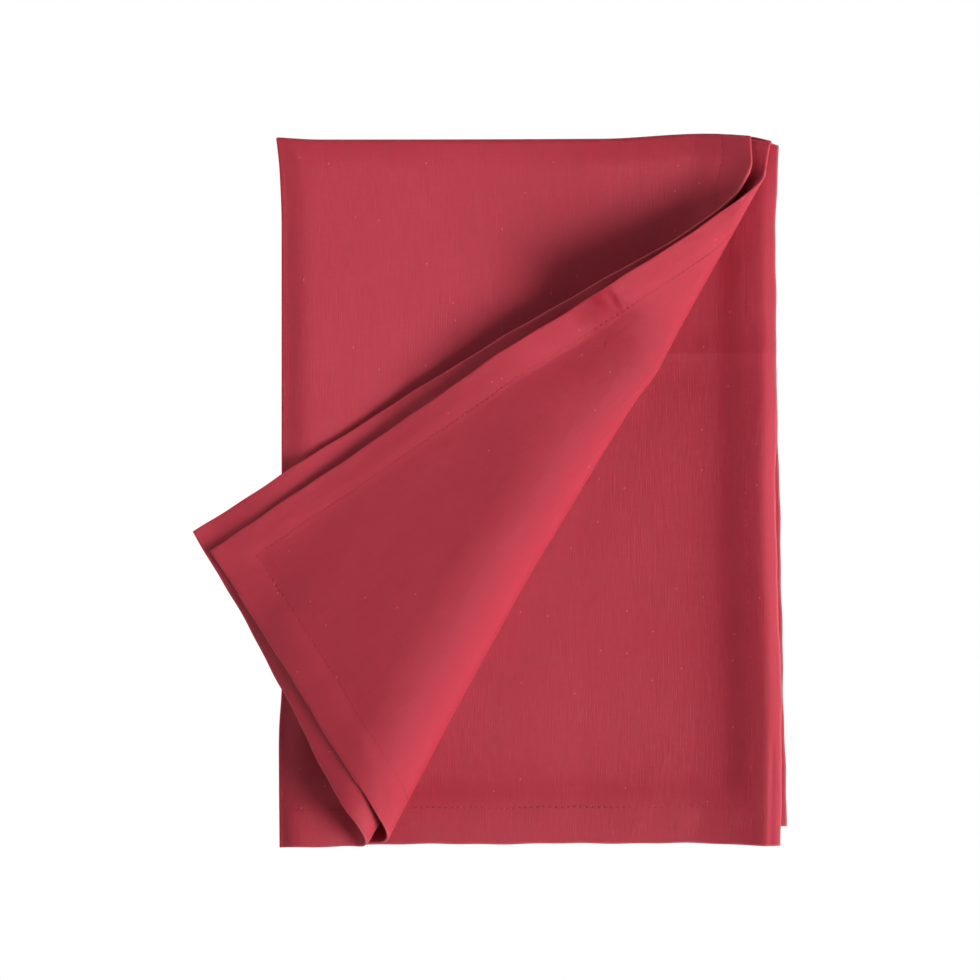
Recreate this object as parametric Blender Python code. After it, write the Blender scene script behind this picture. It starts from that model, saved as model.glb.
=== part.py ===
"""Tea towel, folded in quarters, with one corner of its two upper layers turned back.

A hemmed rectangle of cotton is folded in half along its length (fold at the left, -X) and then in
half across it (fold at the top, +Y). Four layers lie on the surface, from the top down:

    first   outer half of the cloth, front      third   inner half, back
    second  inner half of the cloth, front      fourth  outer half, back

The lower right corner of the first and second layer is then turned back to the upper left over a
soft diagonal roll. Every point of the flat cloth is carried through those folds by place(), so the
solid is one cloth of even thickness. Tables are in millimetres, everything else is in metres.
"""

import math

import bmesh
import bpy
import numpy as np

MM = 0.001

CLOTH_WIDTH = 490 * MM
CLOTH_LENGTH = 706 * MM
THICKNESS = 1.0 * MM
LAYER_PITCH = 1.5 * MM  # from the middle of one folded layer to the middle of the next

SIDE_RADIUS = LAYER_PITCH / 2  # of the left folds, at the cloth's middle
OUTER_RADIUS = 1.5 * LAYER_PITCH  # of the top fold in the outer half, at the cloth's middle
CREASE_ANGLE = math.radians(61.6)  # the roll's direction, up and to the right of +X
CORNER = np.array((-104 * MM, 175 * MM))  # where the left and the top fold meet

TIP_DROP = 5.2 * MM  # how far the overhanging tip sinks below the stack's top
TIP_DROP_START = -92 * MM
TIP_DROP_END = -150 * MM

BEND_ANGLES = np.radians((30, 60, 90))  # where a tight fold gets its lines, from its crest out
ROLL_LINE_STEP = 4.5 * MM  # between lines along the roll, where it turns tightly
FLAP_LINE_STEP = 14 * MM  # between lines on the rest of the turned corner
CROSS_LINE_STEP = 19 * MM  # between lines across the roll
OUTLINE_LINE_STEP = 44 * MM  # between lines that follow the uneven edges of the flat layers
FLAP_REACH = 130 * MM  # of the turned corner, past the end of its roll
CUT_TOLERANCE = 0.0001 * MM
ELLIPSE_STEPS = 24

COTTON_RED = (0.36, 0.030, 0.050, 1.0)
COTTON_ROUGHNESS = 0.9
SHARP_ANGLE = math.radians(40)


def table(columns, *rows):
    """A table's columns by name, in metres, from its rows in millimetres."""
    return {name: MM * np.array(values) for name, values in zip(columns, zip(*rows))}


# The layers' outlines before the corner is turned back.
LEFT_FOLD = table(
    ("y", "x"),
    (-178, -105.0),
    (-127, -105.4),
    (-100, -104.0),
    (30, -104.0),
    (130, -104.0),
    (158, -105.0),
    (177, -107.0),
)
TOP_FOLD = table(
    ("x", "y"),
    (-107, 177.0),
    (-84, 175.8),
    (56, 176.2),
    (107, 178.7),
    (131, 177.3),
    (139, 175.7),
    (146, 174.0),
)
RIGHT_HEM = table(
    ("y", "first", "second", "third", "fourth"),
    (-178, 132.6, 140.6, 145.0, 148.9),
    (-125, 132.0, 141.4, 145.7, 147.3),
    (0, 130.6, 143.0, 142.6, 144.9),
    (60, 130.5, 143.2, 143.2, 143.2),
    (120, 130.5, 142.4, 142.8, 142.0),
    (176, 131.0, 142.0, 144.4, 141.0),
)
BOTTOM_HEM = table(
    ("x", "first", "second", "third", "fourth"),
    (-105, -178.4, -176.4, -176.2, -173.2),
    (-62, -177.0, -176.6, -176.7, -172.2),
    (-24, -176.4, -178.8, -176.6, -171.3),
    (10, -176.0, -181.0, -176.5, -170.6),
    (94, -173.6, -181.4, -176.0, -168.7),
    (148, -172.4, -181.6, -176.8, -167.4),
)

# The roll of the two turned-back layers, a row for each section along the crease, from its top
# end down. "along" runs down the crease and "outline" is how far out the roll reaches across it,
# both from the origin. "turn" is the line that a flat fold would have had. The cloth lifts over
# "under_width" to "under_height" at the outline, and goes on over the roll for "over_width" and
# "over_height" more to its crown, from where it sinks to the stack within "fall".
ROLL_COLUMNS = (
    "along", "outline", "turn",
    "under_width", "under_height", "over_width", "over_height", "fall",
)
FIRST_LAYER_ROLL = table(
    ROLL_COLUMNS,
    (-226, 40.0, 45.0, 18, 0.4, 18, 0.4, 60),
    (-205, 39.0, 45.0, 18, 4.0, 16, 4.0, 60),
    (-188, 38.0, 44.6, 18, 6.0, 18, 8.0, 80),
    (-160, 37.6, 44.5, 19, 7.0, 22, 12.0, 100),
    (-120, 36.5, 42.0, 19, 8.0, 27, 15.0, 110),
    (-60, 34.8, 39.8, 20, 9.0, 31, 18.0, 115),
    (30, 33.2, 39.2, 20, 9.5, 33, 19.0, 115),
    (90, 33.0, 39.4, 20, 9.0, 33, 18.0, 112),
    (138, 32.0, 36.8, 17, 6.5, 28, 12.0, 100),
    (160, 30.8, 33.4, 13, 4.0, 20, 6.5, 80),
    (184, 29.5, 31.2, 8, 1.6, 12, 2.0, 60),
    (200, 29.0, 31.0, 8, 1.4, 12, 1.8, 60),
)
SECOND_LAYER_ROLL = table(
    ROLL_COLUMNS,
    (-226, 51.0, 51.3, 20, 0.4, 22, 0.4, 60),
    (-211, 47.6, 51.3, 20, 4.5, 16, 4.5, 60),
    (-198, 46.4, 51.3, 20, 8.0, 19, 9.0, 80),
    (-170, 46.0, 51.3, 21, 11.0, 27, 14.0, 104),
    (-120, 45.4, 51.3, 22, 12.5, 33, 18.0, 116),
    (-60, 42.4, 51.3, 22, 13.0, 36, 20.0, 120),
    (28, 38.0, 51.2, 21, 13.5, 37, 21.0, 120),
    (110, 37.6, 51.0, 20, 13.0, 35, 20.0, 116),
    (150, 38.0, 49.4, 15, 12.0, 27, 17.5, 104),
    (177, 38.4, 47.6, 11, 11.0, 20, 15.0, 90),
    (200, 38.4, 46.6, 9, 11.0, 19, 14.0, 90),
)

OUTWARD = np.array((math.sin(CREASE_ANGLE), -math.cos(CREASE_ANGLE)))
DOWNWARD = np.array((-math.cos(CREASE_ANGLE), -math.sin(CREASE_ANGLE)))
AXIS_HEIGHT = OUTER_RADIUS + THICKNESS / 2  # of the top fold's axis


def by_layer(outlines, key, at, outer, front):
    """The column of the layer that each point is in."""
    layers = ("first", "second", "third", "fourth")
    first, second, third, fourth = (np.interp(at, outlines[key], outlines[name]) for name in layers)
    return np.where(front, np.where(outer, first, second), np.where(outer, fourth, third))


def fold_in_quarters(across, along, lift):
    """Points of the flat cloth, moved to where they lie once it is folded twice.

    across is 0 on the left fold and positive on the outer half, along is 0 on the top fold and
    positive on the front, and lift is the height off the cloth's middle, towards its right side.
    """
    outer = across >= 0
    front = along >= 0
    reach = np.abs(across)
    drop = np.abs(along)
    side_arc = math.pi / 2 * SIDE_RADIUS
    side_angle = np.minimum(reach / SIDE_RADIUS, math.pi / 2)
    y_rough = CORNER[1] - drop
    x_left = np.interp(y_rough, LEFT_FOLD["y"], LEFT_FOLD["x"]) + SIDE_RADIUS + THICKNESS / 2
    x_right = by_layer(RIGHT_HEM, "y", y_rough, outer, front)
    share = np.maximum(reach - side_arc, 0) / (CLOTH_WIDTH / 2 - side_arc)
    x = x_left + (x_right - x_left) * share - (SIDE_RADIUS + lift) * np.cos(side_angle)

    half = np.where(outer, 1, -1) * np.sin(side_angle)
    top_radius = LAYER_PITCH + half * SIDE_RADIUS
    top_arc = math.pi / 2 * top_radius
    top_angle = np.minimum(drop / top_radius, math.pi / 2)
    radius = top_radius + half * lift
    y_axis = np.interp(x, TOP_FOLD["x"], TOP_FOLD["y"]) - OUTER_RADIUS - THICKNESS / 2
    y_hem = by_layer(BOTTOM_HEM, "x", x, outer, front)
    share = np.maximum(drop - top_arc, 0) / (CLOTH_LENGTH / 2 - top_arc)
    y = y_axis + (y_hem - y_axis) * share + radius * np.cos(top_angle)
    z = AXIS_HEIGHT + np.where(front, 1, -1) * radius * np.sin(top_angle)
    return np.stack((x, y, z), axis=-1)


def quarter_length(wide, high):
    """Ramanujan's length of a quarter ellipse."""
    return math.pi / 4 * (3 * (wide + high) - np.sqrt((3 * wide + high) * (wide + 3 * high)))


def quarter_turn(wide, high, length):
    """How far along, how high and how steep a quarter ellipse is, a length from its level end."""
    angles = np.linspace(0, math.pi / 2, ELLIPSE_STEPS + 1)
    steps = np.hypot(
        np.diff(wide[:, None] * np.sin(angles)),
        np.diff(high[:, None] * np.cos(angles)),
    )
    ends = np.cumsum(steps, axis=1)
    wanted = np.clip(length / quarter_length(wide, high), 0, 1) * ends[:, -1]
    step = np.minimum((ends <= wanted[:, None]).sum(axis=1), ELLIPSE_STEPS - 1)
    row = np.arange(len(wide))
    share = 1 - (ends[row, step] - wanted) / steps[row, step]
    angle = (step + share) * angles[1]
    steepness = np.arctan2(high * np.sin(angle), wide * np.cos(angle))
    return wide * np.sin(angle), high * (1 - np.cos(angle)), steepness


def roll_section(roll, layers_between, out, along):
    """The cloth's path over the roll: its new place across the crease, its rise and its tilt."""
    columns = (np.interp(along, roll["along"], roll[name]) for name in ROLL_COLUMNS[1:])
    outline, turn, under_width, under_height, over_width, over_height, fall = columns
    start = outline - under_width
    crown = outline - over_width
    under_length = quarter_length(under_width, under_height)
    path = under_length + quarter_length(over_width, over_height)
    run = (out - start) * path / (2 * turn - start - crown)
    under_x, under_z, under_tilt = quarter_turn(under_width, under_height, run)
    over_x, over_z, over_tilt = quarter_turn(over_width, over_height, path - run)
    crown_height = under_height + over_height
    rest_height = layers_between * LAYER_PITCH
    sink = crown_height - rest_height
    flap_x = 2 * turn - out
    share = np.clip((crown - flap_x) / fall, 0, 1)
    flap_z = rest_height + sink * (1 + np.cos(math.pi * share)) / 2
    flap_tilt = math.pi + np.arctan(sink * math.pi / (2 * fall) * np.sin(math.pi * share))
    stages = (run <= 0, run <= under_length, run <= path)
    place = np.select(stages, (out, start + under_x, crown + over_x), flap_x)
    rise = np.select(stages, (0 * out, under_z, crown_height - over_z), flap_z)
    tilt = np.select(stages, (0 * out, under_tilt, math.pi - over_tilt), flap_tilt)
    return place, rise, tilt, run > path


def droop(x):
    """How far the turned corner sinks where it reaches past the stack's left edge."""
    share = np.clip((TIP_DROP_START - x) / (TIP_DROP_START - TIP_DROP_END), 0, 1)
    return TIP_DROP * share * share * (3 - 2 * share)


def place(across, along, lift):
    """Where the points of the cloth lie once it is folded and its corner is turned back."""
    middle = fold_in_quarters(across, along, 0 * lift)
    offset = fold_in_quarters(across, along, lift) - middle
    out = middle[:, :2] @ OUTWARD
    down = middle[:, :2] @ DOWNWARD
    first = roll_section(FIRST_LAYER_ROLL, 1, out, down)
    second = roll_section(SECOND_LAYER_ROLL, 3, out, down)
    outer = across >= 0
    new_out, rise, tilt, on_flap = (np.where(outer, a, b) for a, b in zip(first, second))
    front = along > 0
    new_out = np.where(front, new_out, out)
    rise = np.where(front, rise, 0)
    tilt = np.where(front, tilt, 0)
    offset_out = offset[:, :2] @ OUTWARD
    turned_out = offset_out * np.cos(tilt) - offset[:, 2] * np.sin(tilt)
    turned_up = offset_out * np.sin(tilt) + offset[:, 2] * np.cos(tilt)
    points = middle + offset
    points[:, :2] += (new_out - out + turned_out - offset_out)[:, None] * OUTWARD
    points[:, 2] += rise + turned_up - offset[:, 2]
    points[:, 2] -= np.where(front & on_flap, droop(points[:, 0]), 0)
    return points


def everywhere(centre):
    return True


def score(mesh, point, normal, chosen=everywhere):
    """Lines the flat sheet where a plane crosses the chosen faces."""
    faces = [face for face in mesh.faces if chosen(face.calc_center_median())]
    parts = set(faces)
    for face in faces:
        parts.update(face.edges)
        parts.update(face.verts)
    bmesh.ops.bisect_plane(
        mesh, geom=list(parts), dist=CUT_TOLERANCE, plane_co=(*point, 0), plane_no=(*normal, 0)
    )


def score_folds(mesh):
    """Lines along both folds, at the same angles round the bend of every layer."""
    side_bends = (0, *BEND_ANGLES * SIDE_RADIUS)
    top_bends = (*side_bends, *BEND_ANGLES[1:] * OUTER_RADIUS)
    for sign in (-1, 1):
        for bend in side_bends:
            score(mesh, (sign * bend, 0), (1, 0))
        for bend in top_bends:
            score(mesh, (0, sign * bend), (0, 1))


def score_outlines(mesh):
    """Lines across the whole sheet, so that it can follow its uneven edges."""
    for sign in (-1, 1):
        for line in np.arange(OUTLINE_LINE_STEP, CLOTH_WIDTH / 2, OUTLINE_LINE_STEP):
            score(mesh, (sign * line, 0), (1, 0))
        for line in np.arange(OUTLINE_LINE_STEP, CLOTH_LENGTH / 2, OUTLINE_LINE_STEP):
            score(mesh, (0, sign * line), (0, 1))


def score_roll(mesh, sign, roll):
    """Lines along and across the roll, on the half of the front that sign gives."""
    clear = BEND_ANGLES[-1] * OUTER_RADIUS
    into_sheet = np.array((sign, -1))
    outward = OUTWARD * into_sheet
    downward = DOWNWARD * into_sheet
    start = (roll["outline"] - roll["under_width"]).min() - CORNER @ OUTWARD
    end = (2 * roll["turn"] - roll["outline"] + roll["over_width"]).max() - CORNER @ OUTWARD
    top = roll["along"][0] - CORNER @ DOWNWARD
    bottom = roll["along"][-1] - CORNER @ DOWNWARD

    def on_front(centre):
        return centre.x * sign > clear and centre.y > clear

    def turned(centre):
        return on_front(centre) and np.array(centre[:2]) @ outward > start

    for line in np.arange(start, end, ROLL_LINE_STEP):
        score(mesh, line * outward, outward, on_front)
    for line in np.arange(end, end + FLAP_REACH, FLAP_LINE_STEP):
        score(mesh, line * outward, outward, on_front)
    for line in np.arange(top, bottom, CROSS_LINE_STEP):
        score(mesh, line * downward, downward, turned)


def flat_sheet():
    """The flat cloth as triangles, lined wherever the folds will bend it."""
    mesh = bmesh.new()
    corners = ((-1, -1), (1, -1), (1, 1), (-1, 1))
    size = (CLOTH_WIDTH / 2, CLOTH_LENGTH / 2)
    mesh.faces.new([mesh.verts.new((x * size[0], y * size[1], 0)) for x, y in corners])
    score_folds(mesh)
    score_outlines(mesh)
    score_roll(mesh, 1, FIRST_LAYER_ROLL)
    score_roll(mesh, -1, SECOND_LAYER_ROLL)
    bmesh.ops.triangulate(mesh, faces=mesh.faces)
    return mesh


def cloth_solid(sheet):
    """Both faces of the folded cloth and the rim between them, as one closed mesh."""
    sheet.verts.index_update()
    flat = np.array([vert.co[:2] for vert in sheet.verts])
    lift = np.full(len(flat), THICKNESS / 2)
    right_side = place(flat[:, 0], flat[:, 1], lift)
    wrong_side = place(flat[:, 0], flat[:, 1], -lift)
    points = np.concatenate((right_side, wrong_side))
    low = points.min(axis=0)
    high = points.max(axis=0)
    points -= ((low[0] + high[0]) / 2, (low[1] + high[1]) / 2, low[2])

    solid = bmesh.new()
    verts = [solid.verts.new(point) for point in points]
    right = verts[: len(flat)]
    wrong = verts[len(flat):]
    for face in sheet.faces:
        corners = [vert.index for vert in face.verts]
        solid.faces.new([right[i] for i in corners])
        solid.faces.new([wrong[i] for i in reversed(corners)])
    for edge in sheet.edges:
        if edge.is_boundary:
            a, b = (vert.index for vert in edge.verts)
            solid.faces.new((right[a], wrong[a], wrong[b]))
            solid.faces.new((right[a], wrong[b], right[b]))
    bmesh.ops.recalc_face_normals(solid, faces=solid.faces)
    return solid


def cotton():
    """Plain dark red cotton, dull all over."""
    material = bpy.data.materials.new("cotton")
    material.use_nodes = True
    shader = material.node_tree.nodes["Principled BSDF"]
    shader.inputs["Base Color"].default_value = COTTON_RED
    shader.inputs["Roughness"].default_value = COTTON_ROUGHNESS
    shader.inputs["Metallic"].default_value = 0
    return material


def make_towel():
    """The towel's one object."""
    sheet = flat_sheet()
    solid = cloth_solid(sheet)
    mesh = bpy.data.meshes.new("towel")
    solid.to_mesh(mesh)
    solid.free()
    sheet.free()
    mesh.shade_smooth()
    mesh.set_sharp_from_angle(angle=SHARP_ANGLE)
    towel = bpy.data.objects.new("towel", mesh)
    towel.data.materials.append(cotton())
    bpy.context.scene.collection.objects.link(towel)


for thing in list(bpy.data.objects):
    bpy.data.objects.remove(thing, do_unlink=True)
make_towel()
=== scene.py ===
"""Looks of the folded tea towel: one fine cloth with turned hems, its stitching and its weave.

A flat rectangle is folded in half along its length (fold at the left) and then across it (fold at
the top), which leaves four layers, from the top down first, second, third and fourth. The lower
right corner of the first and second layer is turned back over a soft roll. The CAD node is folded
in the same way, but its turned-back corner lies higher and its right edge is flat, where the free
edges here bow up. place() carries every point of the flat cloth through those folds, so the cloth,
its hems, its stitches and its weave all follow from the flat shape. Lengths are in millimetres
until a mesh is made.
"""

import math

import bmesh
import bpy
import mathutils
import numpy as np
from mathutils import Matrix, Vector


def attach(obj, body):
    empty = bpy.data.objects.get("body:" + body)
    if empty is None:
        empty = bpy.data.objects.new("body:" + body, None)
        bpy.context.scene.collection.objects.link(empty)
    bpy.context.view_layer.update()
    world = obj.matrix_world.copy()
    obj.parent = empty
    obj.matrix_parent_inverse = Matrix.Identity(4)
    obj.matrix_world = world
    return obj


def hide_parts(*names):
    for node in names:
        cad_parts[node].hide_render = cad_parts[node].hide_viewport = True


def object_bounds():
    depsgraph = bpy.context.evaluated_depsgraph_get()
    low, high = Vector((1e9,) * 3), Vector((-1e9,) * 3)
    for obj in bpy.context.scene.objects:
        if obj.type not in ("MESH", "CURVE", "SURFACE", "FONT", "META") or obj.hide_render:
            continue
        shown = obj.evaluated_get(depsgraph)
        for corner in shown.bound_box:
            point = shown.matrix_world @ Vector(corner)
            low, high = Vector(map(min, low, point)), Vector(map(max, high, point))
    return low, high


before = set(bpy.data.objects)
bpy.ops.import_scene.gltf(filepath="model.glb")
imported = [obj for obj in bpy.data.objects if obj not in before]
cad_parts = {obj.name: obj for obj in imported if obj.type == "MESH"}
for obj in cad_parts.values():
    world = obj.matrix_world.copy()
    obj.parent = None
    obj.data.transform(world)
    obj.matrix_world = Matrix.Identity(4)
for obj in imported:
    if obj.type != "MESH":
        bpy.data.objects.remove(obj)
cad_low, cad_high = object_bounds()

MM = 0.001

# The flat cloth. "across" is 0 on the left fold and positive on the outer half, "along" is 0 on
# the top fold and positive on the front.
CLOTH_WIDTH = 490.0
CLOTH_LENGTH = 706.0
HALF_WIDTH = CLOTH_WIDTH / 2
HALF_LENGTH = CLOTH_LENGTH / 2
HALF_CLOTH = 0.25  # half of the single cloth's thickness
HEM_TURNS = 0.85  # what the two turned-in layers add to it
LONG_HEM = 16.0
SHORT_HEM = 19.5
LONG_SEAM = 14.5  # the stitches' distance from the edge
SHORT_SEAM = 18.0

# The folded stack, as in the CAD solid.
LAYER_PITCH = 1.5
SIDE_RADIUS = LAYER_PITCH / 2
OUTER_RADIUS = 1.5 * LAYER_PITCH
CAD_HALF_CLOTH = 0.5
AXIS_HEIGHT = OUTER_RADIUS + CAD_HALF_CLOTH
STACK_TOP = 2 * AXIS_HEIGHT
CREASE_ANGLE = math.radians(61.6)
OUTWARD = np.array((math.sin(CREASE_ANGLE), -math.cos(CREASE_ANGLE)))
DOWNWARD = np.array((-math.cos(CREASE_ANGLE), -math.sin(CREASE_ANGLE)))
CORNER = np.array((-104.0, 175.0))
FURTHEST_RIGHT = 148.9  # of the outlines below, where the CAD box ends
FURTHEST_UP = 178.69
TIP_DROP = 5.2
TIP_DROP_START = -92.0
TIP_DROP_END = -150.0


def table(columns, *rows):
    """A table's columns by name."""
    return {name: np.array(values, float) for name, values in zip(columns, zip(*rows))}


LEFT_FOLD = table(
    ("y", "x"),
    (-178, -105.0),
    (-127, -105.4),
    (-100, -104.0),
    (30, -104.0),
    (130, -104.0),
    (158, -105.0),
    (177, -107.0),
)
TOP_FOLD = table(
    ("x", "y"),
    (-107, 177.0),
    (-84, 175.8),
    (56, 176.2),
    (107, 178.7),
    (131, 177.3),
    (139, 175.7),
    (146, 174.0),
)
RIGHT_HEM = table(
    ("y", "first", "second", "third", "fourth"),
    (-178, 132.6, 140.6, 145.0, 148.9),
    (-125, 132.0, 141.4, 145.7, 147.3),
    (0, 130.6, 143.0, 142.6, 144.9),
    (60, 130.5, 143.2, 143.2, 143.2),
    (120, 130.5, 142.4, 142.8, 142.0),
    (176, 131.0, 142.0, 144.4, 141.0),
)
BOTTOM_HEM = table(
    ("x", "first", "second", "third", "fourth"),
    (-105, -178.4, -176.4, -176.2, -173.2),
    (-62, -177.0, -176.6, -176.7, -172.2),
    (-24, -176.4, -178.8, -176.6, -171.3),
    (10, -176.0, -181.0, -176.5, -170.6),
    (94, -173.6, -181.4, -176.0, -168.7),
    (148, -172.4, -181.6, -176.8, -167.4),
)

# The roll, a row for each section along the crease, from its top end down. The cloth lifts over
# "under_width" to "under_height" at the outline, and goes on over the roll for "over_width" and
# "over_height" more to its crown, from where it sinks to the stack within "fall".
ROLL_COLUMNS = (
    "along", "outline", "turn",
    "under_width", "under_height", "over_width", "over_height", "fall",
)
FIRST_LAYER_ROLL = table(
    ROLL_COLUMNS,
    (-226, 40.0, 40.2, 20, 0.6, 18, 0.4, 60),
    (-206, 38.6, 39.6, 27, 4.5, 18, 4.0, 60),
    (-188, 38.0, 44.6, 31, 7.5, 19, 6.5, 80),
    (-160, 37.6, 44.5, 26, 7.5, 25, 9.5, 96),
    (-120, 36.5, 42.0, 19, 6.0, 29, 13.0, 100),
    (-90, 35.6, 40.9, 20, 7.0, 20, 9.5, 100),
    (-60, 34.8, 39.8, 20, 6.5, 18, 10.0, 98),
    (0, 33.7, 39.3, 20, 7.5, 18, 13.0, 96),
    (30, 33.2, 39.2, 20, 8.5, 18, 15.0, 98),
    (90, 33.0, 39.4, 20, 9.0, 18, 16.0, 100),
    (138, 32.0, 36.8, 17, 9.5, 19, 16.0, 98),
    (160, 30.8, 33.4, 13, 10.0, 17, 15.5, 92),
    (176, 30.0, 32.0, 10, 9.0, 15, 13.5, 84),
    (188, 29.4, 31.2, 8, 5.0, 12, 8.0, 70),
    (200, 29.0, 31.0, 8, 2.6, 12, 3.4, 60),
)
SECOND_LAYER_ROLL = table(
    ROLL_COLUMNS,
    (-226, 51.0, 52.8, 20, 0.4, 22, 0.4, 60),
    (-211, 47.6, 53.0, 20, 4.0, 20, 4.5, 60),
    (-198, 46.4, 53.0, 20, 6.5, 24, 8.0, 80),
    (-170, 46.0, 52.8, 21, 8.5, 40, 13.5, 100),
    (-140, 45.6, 52.2, 22, 9.0, 45, 18.0, 108),
    (-120, 45.4, 51.9, 22, 9.5, 42, 17.5, 112),
    (-105, 45.5, 51.5, 22, 11.5, 26, 9.5, 122),
    (-92, 45.8, 51.2, 22, 11.5, 17, 7.5, 126),
    (-75, 43.4, 50.8, 22, 10.5, 17, 8.5, 120),
    (-60, 42.2, 50.6, 22, 10.0, 19, 10.8, 114),
    (0, 39.4, 51.2, 21, 11.0, 20, 15.0, 106),
    (30, 38.0, 51.2, 21, 12.5, 22, 17.0, 108),
    (110, 37.6, 51.0, 20, 13.0, 22, 18.0, 110),
    (150, 38.0, 49.4, 15, 12.0, 22, 17.0, 102),
    (177, 38.4, 47.6, 11, 11.0, 20, 15.0, 90),
    (200, 38.4, 46.6, 9, 11.0, 19, 14.0, 90),
)
FALL_START = 0.14  # the share of the fall that its rounded start takes
FALL_END = 0.3
ELLIPSE_STEPS = 24

# Where the hems of two layers meet, the upper layer lies this much higher.
HEM_ROOM = 0.9
FIRST_HEM_ROOM = 1.3  # the first layer's hem faces the second's, with both turned-in sides together
THIRD_HEM_ROOM = 1.15  # and so does the third layer's hem with the lowest one's
HEM_RAMP = 14.0


def smooth(at, known, values):
    """Values between the known ones on a smooth curve that doesn't overshoot them."""
    step = np.diff(known)
    slope = np.diff(values) / step
    before, after = slope[:-1], slope[1:]
    turning = before * after <= 0
    near = 2 * step[1:] + step[:-1]
    far = step[1:] + 2 * step[:-1]
    mean = (near + far) / (near / np.where(turning, 1, before) + far / np.where(turning, 1, after))
    tangent = np.concatenate((slope[:1], np.where(turning, 0, mean), slope[-1:]))
    at = np.clip(at, known[0], known[-1])
    i = np.clip(np.searchsorted(known, at) - 1, 0, len(step) - 1)
    t = (at - known[i]) / step[i]
    rise = values[i + 1] - values[i]
    start = tangent[i] * step[i]
    end = tangent[i + 1] * step[i]
    return values[i] + t * (start + t * (3 * rise - 2 * start - end + t * (start + end - 2 * rise)))


def ease(low, high, at):
    """0 below low, 1 above high, and smooth between them; low may be the larger."""
    share = np.clip((at - low) / (high - low), 0, 1)
    return share * share * (3 - 2 * share)


def hump(at, centre, half_width):
    """1 at the centre, 0 from half_width on."""
    return ease(half_width, 0, np.abs(at - centre))


def by_layer(outlines, key, at, outer, front):
    """The column of the layer that each point is in."""
    layers = ("first", "second", "third", "fourth")
    first, second, third, fourth = (smooth(at, outlines[key], outlines[name]) for name in layers)
    return np.where(front, np.where(outer, first, second), np.where(outer, fourth, third))


def from_left_fold(x, y):
    """The distance to the fold on the left."""
    return x - smooth(y, LEFT_FOLD["y"], LEFT_FOLD["x"])


def from_top_fold(x, y):
    """The distance to the fold at the top."""
    return smooth(x, TOP_FOLD["x"], TOP_FOLD["y"]) - y


def from_right_hem(x, y):
    """The distance to the third layer's edge on the right."""
    return smooth(y, RIGHT_HEM["y"], RIGHT_HEM["third"]) - x


def from_bottom_hem(x, y):
    """The distance to the third layer's edge at the front."""
    return y - smooth(x, BOTTOM_HEM["x"], BOTTOM_HEM["third"])


def wobble(at, outer, front):
    """Each layer's hems aren't quite straight."""
    own = np.where(front, np.where(outer, 0.0, 1.7), np.where(outer, 3.1, 4.4))
    return 0.20 * np.sin(at / 10.3 + own) + 0.12 * np.sin(at / 4.1 + 2 * own)


def fold_in_quarters(across, along, lift):
    """Points of the flat cloth, moved to where they lie once it is folded twice."""
    outer = across >= 0
    front = along >= 0
    reach = np.abs(across)
    drop = np.abs(along)
    side_arc = math.pi / 2 * SIDE_RADIUS
    side_angle = np.minimum(reach / SIDE_RADIUS, math.pi / 2)
    y_rough = CORNER[1] - drop
    x_left = smooth(y_rough, LEFT_FOLD["y"], LEFT_FOLD["x"]) + SIDE_RADIUS + CAD_HALF_CLOTH
    x_right = by_layer(RIGHT_HEM, "y", y_rough, outer, front) + wobble(y_rough, outer, front)
    share = np.maximum(reach - side_arc, 0) / (HALF_WIDTH - side_arc)
    x = x_left + (x_right - x_left) * share - (SIDE_RADIUS + lift) * np.cos(side_angle)

    half = np.where(outer, 1, -1) * np.sin(side_angle)
    top_radius = LAYER_PITCH + half * SIDE_RADIUS
    top_arc = math.pi / 2 * top_radius
    top_angle = np.minimum(drop / top_radius, math.pi / 2)
    radius = top_radius + half * lift
    y_axis = smooth(x, TOP_FOLD["x"], TOP_FOLD["y"]) - OUTER_RADIUS - CAD_HALF_CLOTH
    y_hem = by_layer(BOTTOM_HEM, "x", x, outer, front) + wobble(x, outer, front)
    share = np.maximum(drop - top_arc, 0) / (HALF_LENGTH - top_arc)
    y = y_axis + (y_hem - y_axis) * share + radius * np.cos(top_angle)
    z = AXIS_HEIGHT + np.where(front, 1, -1) * radius * np.sin(top_angle)
    return np.stack((x, y, z), axis=-1)


def quarter_length(wide, high):
    """Ramanujan's length of a quarter ellipse."""
    return math.pi / 4 * (3 * (wide + high) - np.sqrt((3 * wide + high) * (wide + 3 * high)))


def quarter_turn(wide, high, length):
    """How far along, how high and how steep a quarter ellipse is, a length from its level end."""
    angles = np.linspace(0, math.pi / 2, ELLIPSE_STEPS + 1)
    steps = np.hypot(
        np.diff(wide[:, None] * np.sin(angles)),
        np.diff(high[:, None] * np.cos(angles)),
    )
    ends = np.cumsum(steps, axis=1)
    wanted = np.clip(length / quarter_length(wide, high), 0, 1) * ends[:, -1]
    step = np.minimum((ends <= wanted[:, None]).sum(axis=1), ELLIPSE_STEPS - 1)
    row = np.arange(len(wide))
    share = 1 - (ends[row, step] - wanted) / steps[row, step]
    angle = (step + share) * angles[1]
    steepness = np.arctan2(high * np.sin(angle), wide * np.cos(angle))
    return wide * np.sin(angle), high * (1 - np.cos(angle)), steepness


def even_fall(share):
    """A fall from 1 to 0 and its slope: rounded at its start and end, and even between them."""
    share = np.clip(share, 0, 1)
    steepest = 1 / (1 - FALL_START / 2 - FALL_END / 2)
    left = 1 - share
    fallen = np.where(
        share < FALL_START,
        share * share / (2 * FALL_START),
        np.where(left < FALL_END, np.nan, share - FALL_START / 2),
    )
    height = np.where(
        left < FALL_END, steepest * left * left / (2 * FALL_END), 1 - steepest * fallen
    )
    slope = steepest * np.minimum(np.minimum(share / FALL_START, left / FALL_END), 1)
    return height, slope


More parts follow.
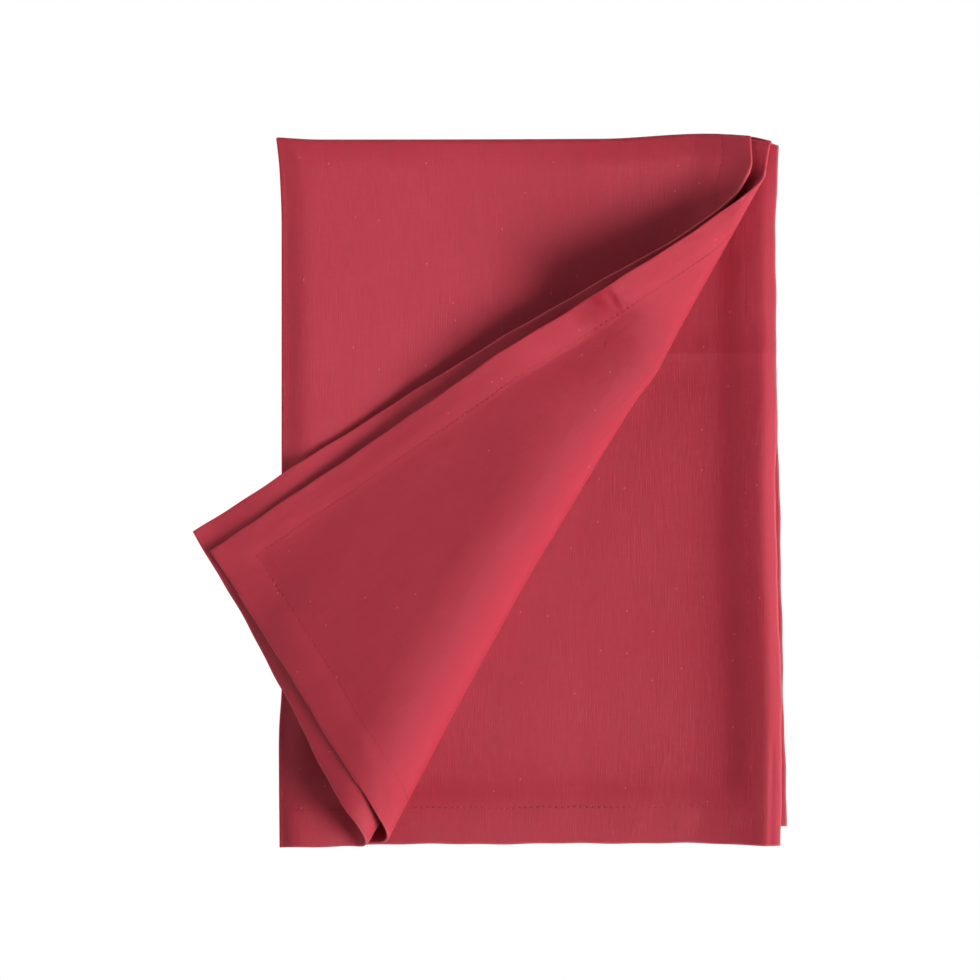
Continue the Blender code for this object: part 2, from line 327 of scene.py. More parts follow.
def roll_section(roll, layers_between, out, down):
    """The cloth's path over the roll: its new place across the crease, its rise and its tilt."""
    columns = (smooth(down, roll["along"], roll[name]) for name in ROLL_COLUMNS[1:])
    outline, turn, under_width, under_height, over_width, over_height, fall = columns
    start = outline - under_width
    crown = outline - over_width
    under_length = quarter_length(under_width, under_height)
    path = under_length + quarter_length(over_width, over_height)
    run = (out - start) * path / (2 * turn - start - crown)
    under_x, under_z, under_tilt = quarter_turn(under_width, under_height, run)
    over_x, over_z, over_tilt = quarter_turn(over_width, over_height, path - run)
    crown_height = under_height + over_height
    rest_height = layers_between * LAYER_PITCH
    sink = crown_height - rest_height
    flap_x = 2 * turn - out
    height, slope = even_fall((crown - flap_x) / fall)
    flap_z = rest_height + sink * height
    flap_tilt = math.pi + np.arctan(sink / fall * slope)
    stages = (run <= 0, run <= under_length, run <= path)
    place_out = np.select(stages, (out, start + under_x, crown + over_x), flap_x)
    rise = np.select(stages, (0 * out, under_z, crown_height - over_z), flap_z)
    tilt = np.select(stages, (0 * out, under_tilt, math.pi - over_tilt), flap_tilt)
    return place_out, rise, tilt, run > path


def droop(x):
    """How far the turned corner sinks where it reaches past the stack's left edge."""
    return TIP_DROP * ease(TIP_DROP_START, TIP_DROP_END, x)


def stack_lift(x, y):
    """How much higher the third layer and all above it lie, for the hems under them."""
    inward = np.minimum(from_right_hem(x, y), from_bottom_hem(x, y) + LONG_HEM - SHORT_HEM)
    return THIRD_HEM_ROOM * ease(LONG_HEM + HEM_RAMP, LONG_HEM - 1, inward)


# The free edges on the right bow up off the surface and curl over at their very edge.
BOW = table(
    ("inward", "height"),
    (-6, 7.6),
    (-3, 9.7),
    (0, 11.6),
    (2, 13.0),
    (4, 14.1),
    (5.5, 14.7),
    (7, 14.8),
    (8.5, 14.5),
    (13, 13.0),
    (20, 10.5),
    (27, 8.1),
    (33, 6.5),
    (42, 4.7),
    (55, 3.0),
    (75, 1.2),
    (98, 0.0),
)
BOW_SIZE = table(
    ("y", "size"),
    (-180, 0.95),
    (-130, 1.0),
    (20, 1.0),
    (80, 0.72),
    (120, 0.55),
    (150, 0.4),
    (178, 0.15),
)
LOWEST_BOW = 0.3  # the share of it that the lowest layer has
FRONT_BOW = 2.6  # the height that the front edge lifts by


def bow(x, y):
    """The lift of the free edges, on the right and a little at the front."""
    inward = from_right_hem(x, y)
    upward = from_bottom_hem(x, y)
    profile = smooth(inward, BOW["inward"], BOW["height"])
    front_edge = FRONT_BOW * ease(48, 2, upward) * ease(-95, -30, x) * (1 - 0.75 * ease(80, 8, inward))
    return profile * smooth(y, BOW_SIZE["y"], BOW_SIZE["size"]) + front_edge


def waves(x, y, on_flap):
    """Soft unevenness of the whole stack, the same for all its layers, and none at its folds."""
    low = 0.30 * np.sin(x / 19 + y / 61 + 0.6) + 0.34 * np.sin(y / 23 - x / 47 + 2.1)
    high = 0.12 * np.sin(x / 7.3 - y / 17 + 1.2) * np.sin(y / 31 + 0.4)
    left = from_left_fold(x, y)
    top = from_top_fold(x, y)
    swell = 2.6 * ease(10, -88, x) + 2.4 * ease(-25, 70, x) * ease(80, 145, y)
    off_folds = np.minimum(ease(0, 16, left), ease(0, 14, top))
    return (low + high + swell) * np.where(on_flap, 1, off_folds)


def pressed(x, y):
    """How much the two folds are pressed down towards their edges."""
    left = from_left_fold(x, y)
    top = from_top_fold(x, y)
    return 1.2 * ease(11, 0, left) + 0.4 * ease(7, 0, top)


def distance_to_path(x, y, path):
    """Each point's distance to a line of straight pieces, and how far along it the nearest is."""
    best = np.full(len(x), np.inf)
    share = np.zeros(len(x))
    steps = len(path) - 1
    for i in range(steps):
        (ax, ay), (bx, by) = path[i], path[i + 1]
        dx, dy = bx - ax, by - ay
        at = np.clip(((x - ax) * dx + (y - ay) * dy) / (dx * dx + dy * dy), 0, 1)
        away = np.hypot(x - ax - at * dx, y - ay - at * dy)
        closer = away < best
        best = np.where(closer, away, best)
        share = np.where(closer, (i + at) / steps, share)
    return best, share


# Creases that were pressed into the cloth when it was folded smaller.
THIRD_CREASE_Y = 68.5
RIDGE_HEIGHT = 0.75
FLAP_CREASE = ((55.0, 100.0), (66.3, 91.4), (72.2, 87.6), (78.8, 79.5), (82.6, 71.0), (83.6, 62.0))
GROOVE_DEPTH = 1.1
GROOVE_REACH = 4.0
FLAP_TROUGH = ((8.0, 50.0), (24.0, 61.0), (38.0, 66.0), (57.0, 73.5), (73.0, 82.0))
TROUGH_DEPTH = 1.2
TROUGH_REACH = 22

# Under the trough the first layer, turned back below the second, gives way to it.
HOLLOW_CENTRE = (49.0, 72.0)
HOLLOW_REACH = 34.0
HOLLOW_DEPTH = 3.2


def creases(x, y, third, second_on_flap, first_on_flap):
    """The height that the pressed creases add."""
    d = y - THIRD_CREASE_Y
    above = np.clip(1 - d / 15, 0, 1) ** 2
    below = np.clip(1 + d / 11, 0, 1) ** 2
    ridge = RIDGE_HEIGHT * np.where(d > 0, above, below) * ease(78, 94, x)
    away, share = distance_to_path(x, y, FLAP_CREASE)
    groove = GROOVE_DEPTH * ease(GROOVE_REACH, 0, away) * ease(0, 0.15, share) * ease(1.0, 0.8, share)
    away, share = distance_to_path(x, y, FLAP_TROUGH)
    trough = TROUGH_DEPTH * ease(TROUGH_REACH, 0, away) ** 2 * ease(0, 0.4, share) * ease(1.0, 0.45, share)
    from_centre = np.hypot(x - HOLLOW_CENTRE[0], y - HOLLOW_CENTRE[1])
    hollow = HOLLOW_DEPTH * ease(HOLLOW_REACH, 0, from_centre)
    sunk = np.where(second_on_flap, groove + trough, 0) + np.where(first_on_flap, hollow, 0)
    return np.where(third, ridge, 0) - sunk


def hem_puckers(across, along):
    """Where the stitching gathers a hem a little, between its seam and its edge."""
    from_long = HALF_WIDTH - np.abs(across)
    from_short = HALF_LENGTH - np.abs(along)
    long_band = hump(from_long, 9, 11) * ease(0, 20, from_short)
    short_band = hump(from_short, 11, 13) * ease(0, 18, from_long)
    long_size = 0.6 + 0.4 * np.sin(along / 17 + across)
    long_wave = np.sin(along / 3.7 + 1.6 * np.sin(along / 31)) * long_size
    short_size = 0.6 + 0.4 * np.sin(across / 19)
    short_wave = np.sin(across / 4.1 + 1.8 * np.sin(across / 27)) * short_size
    return 0.13 * long_band * long_wave + 0.2 * short_band * short_wave


# How far the second layer's turned-back long hem curls up, by the place along the crease.
CURL = table(
    ("along", "height"),
    (-190, 0.2),
    (-140, 1.2),
    (-120, 2.6),
    (-105, 4.0),
    (-75, 4.4),
    (-60, 3.2),
    (-30, 1.4),
    (0, 0.8),
    (40, 0.5),
    (100, 0.5),
)


def settle(points, across, along, tilt, on_flap):
    """Adds what the folds alone leave out: room for the hems, bowed edges, waves and creases."""
    x, y, z = points.T
    outer = across >= 0
    front = along > 0
    from_long = HALF_WIDTH - np.abs(across)
    from_short = HALF_LENGTH - np.abs(along)
    down = points[:, :2] @ DOWNWARD

    wave = waves(x, y, on_flap) - np.where(on_flap, 0, pressed(x, y))
    z = np.where(z < STACK_TOP, z * (1 + wave / STACK_TOP), z + wave)
    z = z + creases(x, y, ~outer & ~front, ~outer & on_flap, outer & on_flap)
    z = z + np.where(front | ~outer, 1, 0) * hem_puckers(across, along) * np.where(on_flap, 0.8, 1)
    # A short groove in the third layer's right hem, near its front corner.
    groove = 0.8 * hump(from_right_hem(x, y), 4.6, 2.2) * ease(-118, -134, y)
    z = z - np.where(~outer & ~front, groove, 0)
    z = z + bow(x, y) * np.where(outer & ~front, LOWEST_BOW, 1)
    z = z + np.where(outer & ~front, 0, stack_lift(x, y))

    off_fold = ease(1.5, 6, np.abs(across))
    hem_top = np.maximum(
        ease(LONG_HEM + HEM_RAMP, LONG_HEM, from_long),
        ease(SHORT_HEM + HEM_RAMP, SHORT_HEM, from_short),
    )
    upright = np.maximum(np.cos(tilt), 0)
    turned = np.maximum(-np.cos(tilt), 0)
    z = z + np.where(front & outer, FIRST_HEM_ROOM * hem_top * upright * off_fold, 0)

    # The second layer's hems lie on the first's once they are turned back, and curl up a little.
    long_curl = smooth(down, CURL["along"], CURL["height"])
    second = front & ~outer
    over_hem = np.maximum(ease(18, 8, from_long), ease(21, 10, from_short)) * HEM_ROOM
    in_hem = np.clip(1.06 - from_long / LONG_HEM, 0, 2)
    curl = long_curl * in_hem**1.25 + 0.6 * ease(19, -6, from_short)
    z = z + np.where(second, (over_hem + curl) * turned, 0)
    return np.stack((x, y, z), axis=-1)


def place(across, along, lift):
    """Where the points of the cloth lie once it is folded and its corner is turned back."""
    middle = fold_in_quarters(across, along, 0 * lift)
    offset = fold_in_quarters(across, along, lift) - middle
    out = middle[:, :2] @ OUTWARD
    down = middle[:, :2] @ DOWNWARD
    first = roll_section(FIRST_LAYER_ROLL, 1, out, down)
    second = roll_section(SECOND_LAYER_ROLL, 3, out, down)
    outer = across >= 0
    new_out, rise, tilt, on_flap = (np.where(outer, a, b) for a, b in zip(first, second))
    front = along > 0
    new_out = np.where(front, new_out, out)
    rise = np.where(front, rise, 0)
    tilt = np.where(front, tilt, 0)
    on_flap = front & on_flap
    offset_out = offset[:, :2] @ OUTWARD
    turned_out = offset_out * np.cos(tilt) - offset[:, 2] * np.sin(tilt)
    turned_up = offset_out * np.sin(tilt) + offset[:, 2] * np.cos(tilt)
    points = middle + offset
    points[:, :2] += (new_out - out + turned_out - offset_out)[:, None] * OUTWARD
    points[:, 2] += rise + turned_up - offset[:, 2]
    points[:, 2] -= np.where(on_flap, droop(points[:, 0]), 0)
    points = settle(points, across, along, tilt, on_flap)
    points[:, 0] += cad_high.x / MM - FURTHEST_RIGHT
    points[:, 1] += cad_high.y / MM - FURTHEST_UP
    return points * MM


def lines(*stops):
    """Line positions from the first stop on, with the spacing given with each next stop."""
    found = [stops[0]]
    for end, spacing in stops[1:]:
        steps = max(1, round((end - found[-1]) / spacing))
        found += list(np.linspace(found[-1], end, steps + 1)[1:])
    return np.array(found)


def both_ways(back, front):
    """Lines on both sides of a fold, from the back edge to the front edge."""
    return np.concatenate((-back[::-1], front[1:]))


def kept_on_wrong_side(at, half, hem):
    """The lines that the wrong side needs: all near the folds and the hems, every other elsewhere."""
    reach = np.abs(at)
    close = (reach < 4) | (reach > half - hem - 2)
    kept = close | (np.arange(len(at)) % 2 == 0)
    kept[[0, -1]] = True
    return np.flatnonzero(kept)


def hem_lift(across, along):
    """How deep the wrong side lies under the cloth's middle."""
    from_long = HALF_WIDTH - np.abs(across)
    from_short = HALF_LENGTH - np.abs(along)
    turned = np.maximum(
        ease(LONG_HEM + 0.35, LONG_HEM - 0.35, from_long),
        ease(SHORT_HEM + 0.35, SHORT_HEM - 0.35, from_short),
    )
    off_fold = ease(1.2, 4, np.abs(across)) * ease(1.2, 6, np.abs(along))
    return HALF_CLOTH + HEM_TURNS * turned * off_fold


RIM_BULGE = 0.35
SEAM_DIP = 0.04


def seam_dip(across, along):
    """How deep the stitching pulls the cloth in."""
    from_long = HALF_WIDTH - np.abs(across)
    from_short = HALF_LENGTH - np.abs(along)
    long_seam = hump(from_long, LONG_SEAM, 1.3) * ease(LONG_SEAM, LONG_SEAM + 4, from_short)
    short_seam = hump(from_short, SHORT_SEAM, 1.3) * ease(LONG_SEAM, LONG_SEAM + 4, from_long)
    return SEAM_DIP * np.maximum(long_seam, short_seam)


def face_outward(mesh):
    """Turns each closed piece of a mesh so that its faces look outwards."""
    work = bmesh.new()
    work.from_mesh(mesh)
    bmesh.ops.recalc_face_normals(work, faces=work.faces)
    work.to_mesh(mesh)
    work.free()


def cloth_mesh():
    """The cloth as one closed mesh, with the flat cloth's coordinates in metres as its UV map."""
    hem_step = 0.7
    half_across = lines(
        0.0, (1.2, 0.4), (3, 0.9), (6, 1.5),
        (HALF_WIDTH - LONG_HEM - 1.4, 2.45), (HALF_WIDTH - LONG_SEAM + 0.7, hem_step),
        (HALF_WIDTH - 7, 1.7), (HALF_WIDTH, 0.9),
    )
    fold_along = (0.0, (1.2, 0.4), (3.6, 0.6), (6, 1.2))
    front_along = lines(
        *fold_along, (92, 2.4), (146, 1.35),
        (HALF_LENGTH - SHORT_HEM - 1.4, 2.5), (HALF_LENGTH - SHORT_SEAM + 0.7, hem_step),
        (HALF_LENGTH - 4, 2.1), (HALF_LENGTH, 1.0),
    )
    back_along = lines(
        *fold_along, (94, 3.4), (120, 1.1),
        (HALF_LENGTH - SHORT_HEM - 1.4, 3.25), (HALF_LENGTH - SHORT_SEAM + 0.7, hem_step),
        (HALF_LENGTH - 4, 2.1), (HALF_LENGTH, 1.0),
    )
    u = both_ways(half_across, half_across)
    v = both_ways(back_along, front_along)
    columns, rows = len(u), len(v)

    flat_u, flat_v = (grid.ravel() for grid in np.meshgrid(u, v))
    right = place(flat_u, flat_v, HALF_CLOTH - seam_dip(flat_u, flat_v))
    keep_u = kept_on_wrong_side(u, HALF_WIDTH, LONG_HEM)
    keep_v = kept_on_wrong_side(v, HALF_LENGTH, SHORT_HEM)
    wrong_u, wrong_v = (grid.ravel() for grid in np.meshgrid(u[keep_u], v[keep_v]))
    wrong = place(wrong_u, wrong_v, seam_dip(wrong_u, wrong_v) - hem_lift(wrong_u, wrong_v))

    # The rim's middle line goes once round the cloth, a little outside both its sides.
    around = [(i, 0) for i in range(columns - 1)]
    around += [(columns - 1, j) for j in range(rows - 1)]
    around += [(i, rows - 1) for i in range(columns - 1, 0, -1)]
    around += [(0, j) for j in range(rows - 1, 0, -1)]
    ring_u = np.array([u[i] for i, j in around])
    ring_v = np.array([v[j] for i, j in around])
    depth = hem_lift(ring_u, ring_v)
    past_u = np.where(np.abs(ring_u) == HALF_WIDTH, np.sign(ring_u) * RIM_BULGE, 0)
    past_v = np.where(np.abs(ring_v) == HALF_LENGTH, np.sign(ring_v) * RIM_BULGE, 0)
    ring = place(ring_u + past_u, ring_v + past_v, (HALF_CLOTH - depth) / 2)

    right_index = np.arange(columns * rows).reshape(rows, columns)
    wrong_index = len(right) + np.arange(len(wrong)).reshape(len(keep_v), len(keep_u))
    ring_start = len(right) + len(wrong)
    faces = [
        np.stack((grid[:-1, :-1], grid[:-1, 1:], grid[1:, 1:], grid[1:, :-1]), axis=-1).reshape(-1, 4)
        for grid in (right_index, wrong_index[:, ::-1])
    ]
    faces = [list(map(int, face)) for grid in faces for face in grid]

    wrong_of = {
        (i, j): int(wrong_index[row, column])
        for row, j in enumerate(keep_v)
        for column, i in enumerate(keep_u)
    }
    count = len(around)
    on_ring = [ring_start + k for k in range(count)]
    for k in range(count):
        after = (k + 1) % count
        a, b = around[k], around[after]
        inner = [int(right_index[b[1], b[0]]), int(right_index[a[1], a[0]])]
        faces.append([on_ring[k], on_ring[after], *inner])
    corners = [k for k in range(count) if around[k] in wrong_of]
    for a, b in zip(corners, corners[1:] + [corners[0] + count]):
        between = [on_ring[k % count] for k in range(a, b + 1)]
        ends = [wrong_of[around[b % count]], wrong_of[around[a]]]
        faces.append((between + ends)[::-1])

    points = np.concatenate((right, wrong, ring))
    all_u = np.concatenate((flat_u, wrong_u, ring_u))
    all_v = np.concatenate((flat_v, wrong_v, ring_v))
    flat = np.stack((all_u, all_v), axis=-1)
    mesh = bpy.data.meshes.new("towel_cloth")
    mesh.from_pydata(points.tolist(), [], faces)
    corner_points = np.empty(len(mesh.loops), np.int32)
    mesh.loops.foreach_get("vertex_index", corner_points)
    layer = mesh.uv_layers.new(name="Cloth")
    layer.data.foreach_set("uv", (flat[corner_points] * MM).astype(np.float32).ravel())
    face_outward(mesh)
    mesh.shade_smooth()
    return mesh


STITCH_PITCH = 3.0
STITCH_LENGTH = 2.5
STITCH_RADIUS = 0.16
FOLD_GAP = 4  # the short seams' stitches leave out this much on each side of the left fold


def stitch_shape():
    """One stitch lying along x, as points and faces: a thread that dips into the cloth at its ends."""
    sides = 6
    # Each ring's place as a share of the length, and its size and height in thread radii.
    rings = ((-0.5, 0.3, -1.6), (-0.36, 0.9, -0.4), (0.0, 1.0, -0.1), (0.36, 0.9, -0.4), (0.5, 0.3, -1.6))
    points = []
    for along, size, height in rings:
        for side in range(sides):
            angle = 2 * math.pi * side / sides
            points.append((
                along * STITCH_LENGTH,
                STITCH_RADIUS * size * math.cos(angle),
                STITCH_RADIUS * (height + size * math.sin(angle)),
            ))
    faces = []
    for ring in range(len(rings) - 1):
        for side in range(sides):
            a, b = ring * sides + side, ring * sides + (side + 1) % sides
            faces.append((a, b, b + sides, a + sides))
    faces.append(tuple(range(sides))[::-1])
    faces.append(tuple(range((len(rings) - 1) * sides, len(rings) * sides)))
    return np.array(points), faces


def stitch_places(half_seam):
    """The middles of the stitches of a seam, with a needle hole at its own middle."""
    count = 2 * round(half_seam / STITCH_PITCH)
    return (np.arange(count) + 0.5) * STITCH_PITCH - count * STITCH_PITCH / 2


def stitch_mesh():
    """All the hems' stitches, on both sides of the cloth, as one mesh."""
    shape, shape_faces = stitch_shape()
    centres = []
    long_line = HALF_WIDTH - LONG_SEAM
    short_line = HALF_LENGTH - SHORT_SEAM
    for side in (-1, 1):
        for v in stitch_places(short_line):
            centres.append((side * long_line, v, 0, 1))
        for u in stitch_places(long_line):
            if abs(u) > FOLD_GAP:
                centres.append((u, side * short_line, 1, 0))
    centres = np.array(centres)
    across, along, lift = [], [], []
    for face in (1, -1):
        u = centres[:, 0, None] + centres[:, 2, None] * shape[:, 0] + centres[:, 3, None] * shape[:, 1]
        v = centres[:, 1, None] + centres[:, 3, None] * shape[:, 0] + centres[:, 2, None] * shape[:, 1]
        depth = HALF_CLOTH if face > 0 else HALF_CLOTH + HEM_TURNS
        across.append(u.ravel())
        along.append(v.ravel())
        lift.append(face * (depth + np.tile(shape[:, 2], len(centres))))
    points = place(*(np.concatenate(part) for part in (across, along, lift)))
    faces = []
    for start in range(0, len(points), len(shape)):
        faces += [[start + i for i in face] for face in shape_faces]
    mesh = bpy.data.meshes.new("towel_stitching")
    mesh.from_pydata(points.tolist(), [], faces)
    face_outward(mesh)
    mesh.shade_smooth()
    return mesh


class Shading:
    """A material's nodes, written as expressions: numbers or sockets in, a socket out."""

    def __init__(self, material):
        self.tree = material.node_tree
        self.nodes = self.tree.nodes

    def feed(self, socket, value):
        if isinstance(value, bpy.types.NodeSocket):
            self.tree.links.new(value, socket)
        else:
            socket.default_value = value

    def math(self, operation, *values):
        node = self.nodes.new("ShaderNodeMath")
        node.operation = operation
        for socket, value in zip(node.inputs, values):
            self.feed(socket, value)
        return node.outputs[0]

    def ease(self, low, high, value):
        """0 at low, 1 at high, smooth between them; low may be the larger."""
        node = self.nodes.new("ShaderNodeMapRange")
        node.interpolation_type = "SMOOTHSTEP"
        turned = low > high
        self.feed(node.inputs["Value"], value)
        node.inputs["From Min"].default_value = min(low, high)
        node.inputs["From Max"].default_value = max(low, high)
        node.inputs["To Min"].default_value = 1.0 if turned else 0.0
        node.inputs["To Max"].default_value = 0.0 if turned else 1.0
        return node.outputs["Result"]

    def point(self, u, v):
        node = self.nodes.new("ShaderNodeCombineXYZ")
        self.feed(node.inputs[0], u)
        self.feed(node.inputs[1], v)
        return node.outputs[0]

    def noise(self, u, v, across, along, detail=1.0, seed=0.0):
        """Noise from about -1 to 1 in cells of the given size in millimetres."""
        node = self.nodes.new("ShaderNodeTexNoise")
        node.noise_dimensions = "2D"
        node.inputs["Scale"].default_value = 1.0
        node.inputs["Detail"].default_value = detail
        place_u = self.math("MULTIPLY_ADD", u, 1 / across, seed)
        place_v = self.math("MULTIPLY_ADD", v, 1 / along, 2 * seed)
        self.feed(node.inputs["Vector"], self.point(place_u, place_v))
        return self.math("MULTIPLY_ADD", node.outputs[0], 4.0, -2.0)


THREAD_PITCH = 0.42
PALE_FIBRE = (0.85, 0.55, 0.55)  # the colour that neps and worn edges tend to


def cotton(name, colour):
    """Plain-woven cotton, laid out by the flat cloth's own coordinates."""
    material = bpy.data.materials.new(name)
    material.use_nodes = True
    shader = material.node_tree.nodes["Principled BSDF"]
    sh = Shading(material)
    cloth = sh.nodes.new("ShaderNodeUVMap")
    cloth.uv_map = "Cloth"
    split = sh.nodes.new("ShaderNodeSeparateXYZ")
    sh.feed(split.inputs[0], cloth.outputs[0])
    u = sh.math("MULTIPLY", split.outputs[0], 1 / MM)
    v = sh.math("MULTIPLY", split.outputs[1], 1 / MM)

    # The weave: threads that wander a little, each crossing over and under the other set.
    wander_u = sh.math("MULTIPLY_ADD", sh.noise(u, v, 2.5, 9, 0, 3.1), 0.09, u)
    wander_v = sh.math("MULTIPLY_ADD", sh.noise(u, v, 9, 2.5, 0, 7.7), 0.09, v)
    wave_u = sh.math("SINE", sh.math("MULTIPLY", wander_u, math.pi / THREAD_PITCH))
    wave_v = sh.math("SINE", sh.math("MULTIPLY", wander_v, math.pi / THREAD_PITCH))
    round_u = sh.math("ABSOLUTE", wave_u)
    round_v = sh.math("ABSOLUTE", wave_v)
    warp_over = sh.ease(-0.15, 0.15, sh.math("MULTIPLY", wave_u, wave_v))
    warp = sh.math("MULTIPLY", sh.math("POWER", round_u, 0.5), round_v)
    weft = sh.math("MULTIPLY", sh.math("POWER", round_v, 0.5), round_u)
    difference = sh.math("SUBTRACT", warp, weft)
    weave = sh.math("MULTIPLY_ADD", difference, warp_over, weft)

    # Slubs: stretches where a thread is thicker, mostly the ones that run along the cloth.
    slub_along = sh.noise(u, v, 0.6, 17, 1, 11.3)
    slub_across = sh.noise(u, v, 15, 0.7, 0, 17.9)
    slubs = sh.math("MULTIPLY_ADD", slub_across, 0.4, slub_along)
    mottle = sh.noise(u, v, 8, 11, 2, 23.0)

    # Neps: a few small knots of lighter fibre.
    cells = sh.nodes.new("ShaderNodeTexVoronoi")
    cells.voronoi_dimensions = "2D"
    cells.inputs["Scale"].default_value = 1.0
    sh.feed(cells.inputs["Vector"], sh.point(sh.math("DIVIDE", u, 13.0), sh.math("DIVIDE", v, 17.0)))
    channels = sh.nodes.new("ShaderNodeSeparateColor")
    sh.feed(channels.inputs[0], cells.outputs["Color"])
    chosen = sh.math("GREATER_THAN", channels.outputs[0], 0.82)
    nep = sh.math("MULTIPLY", sh.ease(0.042, 0.014, cells.outputs["Distance"]), chosen)

    # The seams' needle holes, darkened below as painted shade, and the hems' outer folds, which are worn a
    # little lighter.
    from_long = sh.math("SUBTRACT", HALF_WIDTH, sh.math("ABSOLUTE", u))
    from_short = sh.math("SUBTRACT", HALF_LENGTH, sh.math("ABSOLUTE", v))
    holes = []
    front = sh.ease(-1, 1, v)
    for gap, seam, other, run, showing in (
        (from_long, LONG_SEAM, from_short, v, sh.math("MULTIPLY_ADD", front, 0.75, 0.25)),
        (from_short, SHORT_SEAM, from_long, u, 0.8),
    ):
        aside = sh.math("SUBTRACT", gap, seam)
        beside = sh.math("PINGPONG", run, STITCH_PITCH / 2)
        square = sh.math("ADD", sh.math("MULTIPLY", aside, aside), sh.math("MULTIPLY", beside, beside))
        away = sh.math("SQRT", square)
        inside = sh.math("MULTIPLY", showing, sh.math("GREATER_THAN", other, seam))
        holes.append(sh.math("MULTIPLY", sh.ease(0.62, 0.3, away), inside))
    clear = sh.ease(-1.0, 1.2, sh.noise(u, v, 45, 45, 0, 53.0))
    hole = sh.math("MULTIPLY", sh.math("MAXIMUM", *holes), clear)
    worn = sh.ease(0.9, 0.1, sh.math("MINIMUM", from_long, from_short))

    # Tone and shade: painted shade darkens the gaps between the threads, the slubs are lighter.
    tone_and_shade = sh.math("MULTIPLY_ADD", weave, 0.20, 0.90)
    # The needle holes' darkening here is painted shade; the slubs, mottle, neps and worn folds are the
    # cloth's own tone.
    for part, strength in ((slubs, 0.028), (mottle, 0.022), (nep, 0.22), (worn, 0.16), (hole, -0.5)):
        tone_and_shade = sh.math("MULTIPLY_ADD", part, strength, tone_and_shade)
    tint = sh.nodes.new("ShaderNodeMix")
    tint.data_type = "RGBA"
    pale = sh.math("ADD", sh.math("MULTIPLY", nep, 0.10), sh.math("MULTIPLY", worn, 0.05))
    sh.feed(tint.inputs[0], pale)
    tint.inputs[6].default_value = (*colour, 1)
    tint.inputs[7].default_value = (*PALE_FIBRE, 1)
    scaled = sh.nodes.new("ShaderNodeVectorMath")
    scaled.operation = "SCALE"
    sh.feed(scaled.inputs[0], tint.outputs[2])
    sh.feed(scaled.inputs["Scale"], tone_and_shade)
    sh.feed(shader.inputs["Base Color"], scaled.outputs[0])
    sh.feed(shader.inputs["Roughness"], sh.math("MULTIPLY_ADD", weave, -0.08, 0.56))

    height = sh.math("MULTIPLY", weave, 0.10)
    for part, strength in ((slub_along, 0.020), (hole, -0.3)):
        height = sh.math("MULTIPLY_ADD", part, strength, height)
    bump = sh.nodes.new("ShaderNodeBump")
    bump.inputs["Strength"].default_value = 1.0
    bump.inputs["Distance"].default_value = MM
    sh.feed(bump.inputs["Height"], height)
    sh.feed(shader.inputs["Normal"], bump.outputs[0])
    shader.inputs["Specular IOR Level"].default_value = 0.5
    shader.inputs["Sheen Weight"].default_value = 0.03
    shader.inputs["Sheen Roughness"].default_value = 0.4
    return material


def thread(name, colour):
    """Plain dull sewing thread."""
    material = bpy.data.materials.new(name)
    material.use_nodes = True
    shader = material.node_tree.nodes["Principled BSDF"]
    shader.inputs["Base Color"].default_value = (*colour, 1)
    shader.inputs["Roughness"].default_value = 0.7
    shader.inputs["Specular IOR Level"].default_value = 0.35
    shader.inputs["Sheen Weight"].default_value = 0.03
    return material


def link(name, data):
    """Puts a mesh, a light or a camera into the scene as an object."""
    thing = bpy.data.objects.new(name, data)
    bpy.context.scene.collection.objects.link(thing)
    return thing


CLOTH_RED = (0.45, 0.0125, 0.0365)
THREAD_RED = (0.40, 0.018, 0.036)

towel = link("towel_cloth", cloth_mesh())
towel.data.materials.append(cotton("cotton", CLOTH_RED))
stitching = link("towel_stitching", stitch_mesh())
stitching.data.materials.append(thread("cotton_thread", THREAD_RED))

for piece in (towel, stitching):
    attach(piece, "root")
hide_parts("towel")


# Floor, light and camera.
def emitter(name, place_at, aim, size, power):
    """A round area light that faces a point, with its size in metres and its power in watts."""
    light = bpy.data.lights.new(name, "AREA")
    light.shape = "DISK"
    light.size = size
    light.energy = power
    lamp = link(name, light)
    lamp.location = place_at
    direction = np.array(aim) - np.array(place_at)
    lamp.rotation_euler = mathutils.Vector(direction).to_track_quat("-Z", "Y").to_euler()
    return lamp


def from_angle(azimuth, elevation, distance):
    """A point that far from the origin; azimuth runs from +X towards +Y."""
    a, e = math.radians(azimuth), math.radians(elevation)
    level = distance * math.cos(e)
    return (level * math.cos(a), level * math.sin(a), distance * math.sin(e))


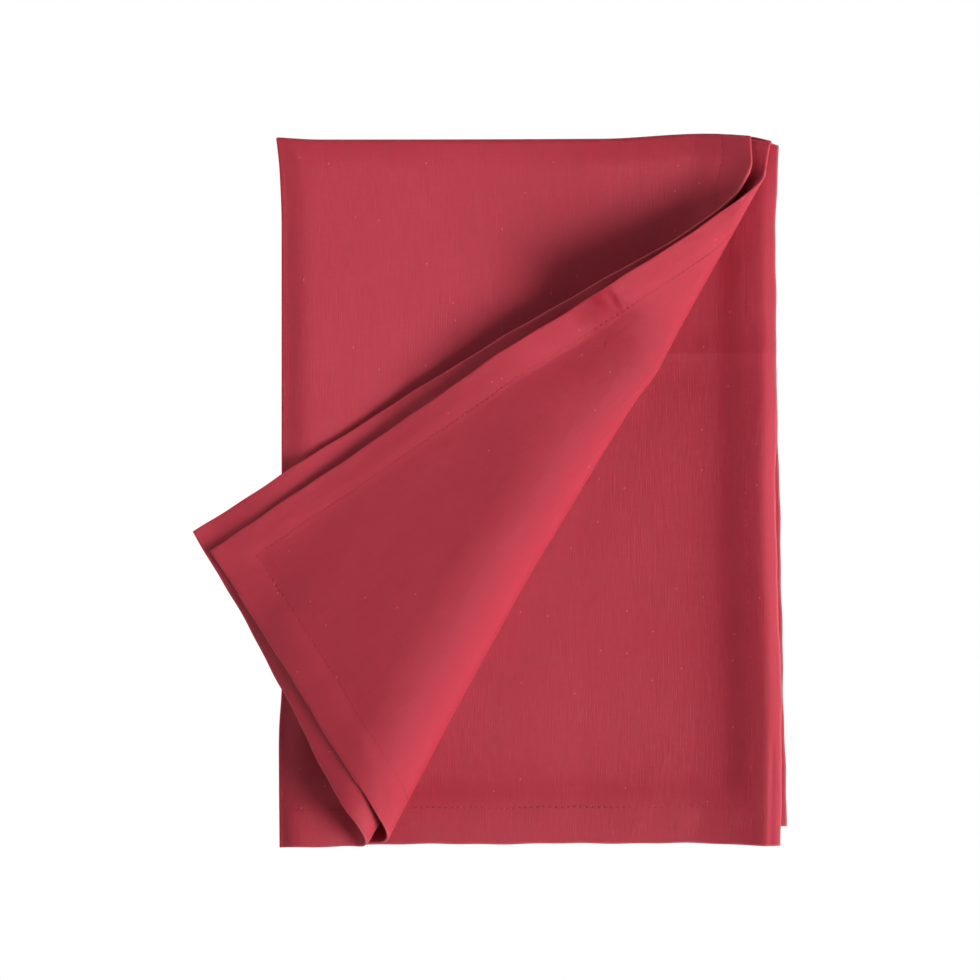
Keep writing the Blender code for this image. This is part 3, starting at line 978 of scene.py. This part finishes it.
FLOOR_REACH = 30.0
FLOOR_GAP = 0.0002  # under the towel, so that the two don't flicker
floor_mesh = bpy.data.meshes.new("floor")
floor_corners = [(FLOOR_REACH * x, FLOOR_REACH * y, 0) for x, y in ((-1, -1), (1, -1), (1, 1), (-1, 1))]
floor_mesh.from_pydata(floor_corners, [], [(0, 1, 2, 3)])
floor = link("floor", floor_mesh)
floor.location.z = -FLOOR_GAP
paper = bpy.data.materials.new("paper")
paper.use_nodes = True
shader = paper.node_tree.nodes["Principled BSDF"]
shader.inputs["Base Color"].default_value = (0.8, 0.8, 0.8, 1)
shader.inputs["Roughness"].default_value = 1.0
shader.inputs["Specular IOR Level"].default_value = 0.0
# The camera sees the floor as plain white, while the towel gets the light that it reflects.
nodes = paper.node_tree.nodes
links = paper.node_tree.links
seen = nodes.new("ShaderNodeLightPath")
white = nodes.new("ShaderNodeEmission")
either = nodes.new("ShaderNodeMixShader")
links.new(seen.outputs["Is Camera Ray"], either.inputs[0])
links.new(shader.outputs[0], either.inputs[1])
links.new(white.outputs[0], either.inputs[2])
links.new(either.outputs[0], nodes["Material Output"].inputs["Surface"])
floor.data.materials.append(paper)

key = emitter("key", from_angle(-20, 35, 4.0), aim=(-0.6, 0.6, 0), size=2.5, power=32.5)
key.data.spread = math.radians(50)
emitter("fill", from_angle(148, 28, 1.0), aim=(0, 0, 0), size=0.7, power=3.3)

WORLD_LIGHT = 0.14
world = bpy.data.worlds.new("studio")
world.use_nodes = True
bpy.context.scene.world = world
nodes = world.node_tree.nodes
links = world.node_tree.links
background = nodes["Background"]
rays = nodes.new("ShaderNodeLightPath")
pick = nodes.new("ShaderNodeMix")
pick.data_type = "FLOAT"
pick.inputs[2].default_value = WORLD_LIGHT
pick.inputs[3].default_value = 1.0  # what the camera sees past the floor
links.new(rays.outputs["Is Camera Ray"], pick.inputs[0])
links.new(pick.outputs[0], background.inputs["Strength"])
background.inputs["Color"].default_value = (1, 1, 1, 1)

CAMERA_HEIGHT = 3.0
FRAME_WIDTH = 0.490
FRAME_PLANE = 0.005  # the height at which the frame is that wide
SENSOR_WIDTH = 36
camera_data = bpy.data.cameras.new("camera")
camera_data.sensor_width = SENSOR_WIDTH
camera_data.lens = SENSOR_WIDTH * (CAMERA_HEIGHT - FRAME_PLANE) / FRAME_WIDTH
camera_data.clip_end = 40
camera = link("camera", camera_data)
centre = (cad_low + cad_high) / 2
camera.location = (centre.x, centre.y, CAMERA_HEIGHT)
bpy.context.scene.camera = camera
bpy.context.scene.view_settings.view_transform = "Standard"
bpy.context.scene.view_settings.look = "None"
